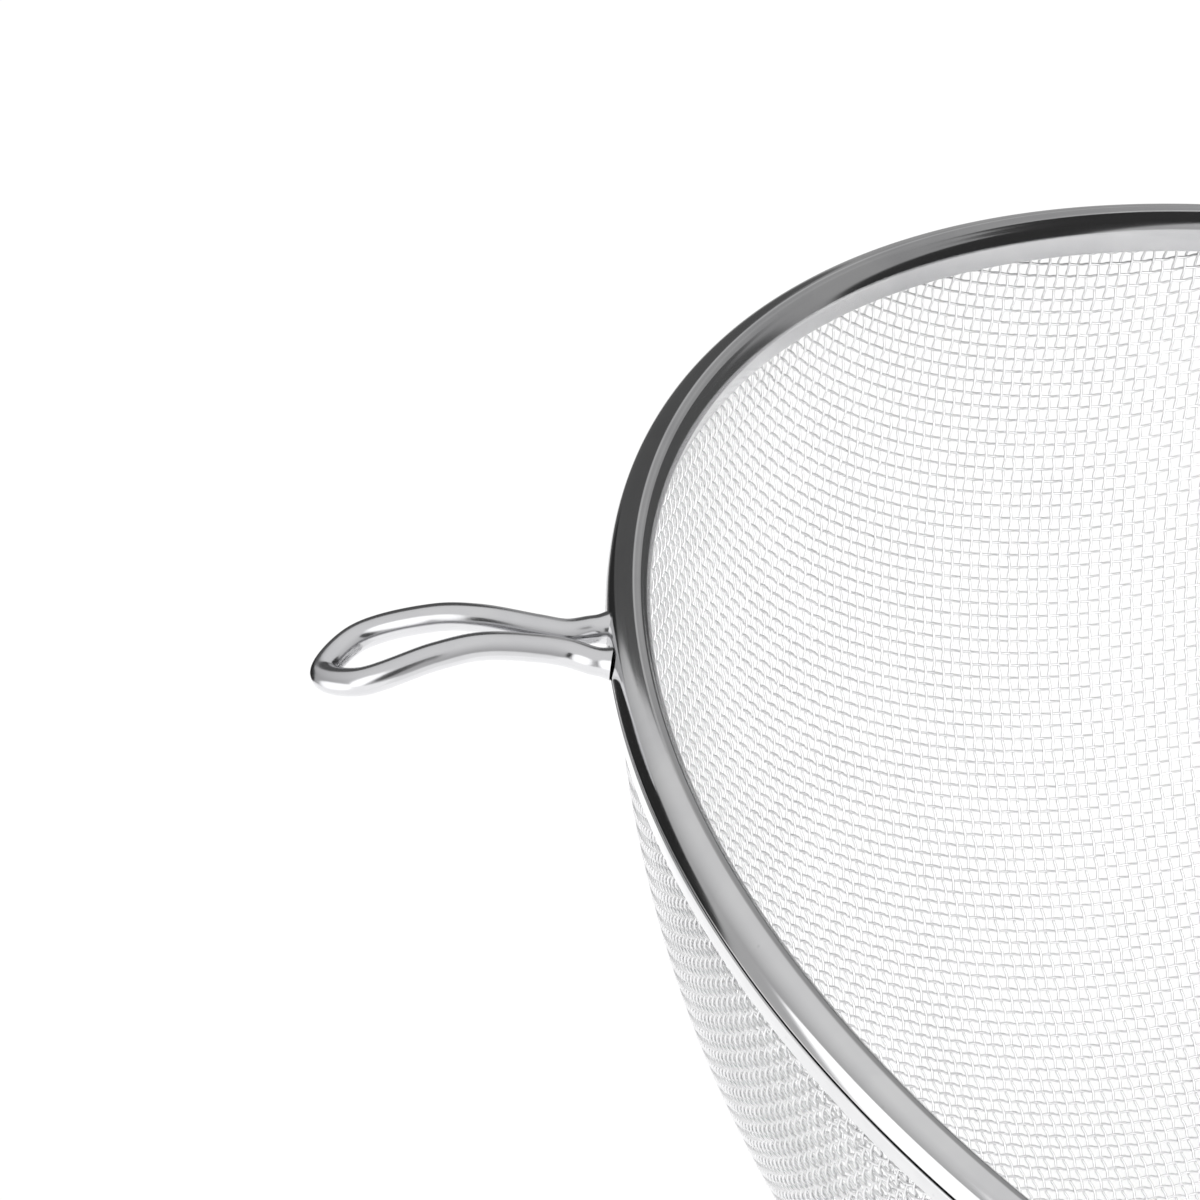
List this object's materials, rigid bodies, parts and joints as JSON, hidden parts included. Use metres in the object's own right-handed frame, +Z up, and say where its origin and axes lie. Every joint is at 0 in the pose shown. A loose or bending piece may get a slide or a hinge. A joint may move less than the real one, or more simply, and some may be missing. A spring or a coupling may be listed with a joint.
{
  "type": "sieve",
  "caption": "Round kitchen sieve: a deep dome of woven steel wire in a folded steel rim, with a wire rest hook opposite a straight handle that ends in a hanging eye.",
  "frame": {"origin": "middle of the part's box, on the table that it lies on", "axes": "+Z up, +X from the rest hook to the end of the handle, the XZ plane is the mirror plane"},
  "size_m": [0.4554, 0.237, 0.1281],
  "materials": {
    "woven_wire": "drawn stainless steel wire in plain square weave",
    "polished_rim": "polished stainless strip with fine rubbing marks along the rim",
    "polished_wire": "polished stainless wire",
    "polished_fittings": "polished stainless steel",
    "satin_grip": "satin stainless steel, ground along its length"
  },
  "bodies": {
    "root": {"mesh_bowl": "woven_wire", "rim_cap": "polished_rim", "outer_band": "polished_rim", "rest_hook": "polished_wire", "handle_fork": "polished_wire", "handle_ferrule": "polished_fittings", "handle_grip": "satin_grip", "handle_end_plug": "polished_fittings", "hanging_eye": "polished_fittings"}
  },
  "joints": []
}
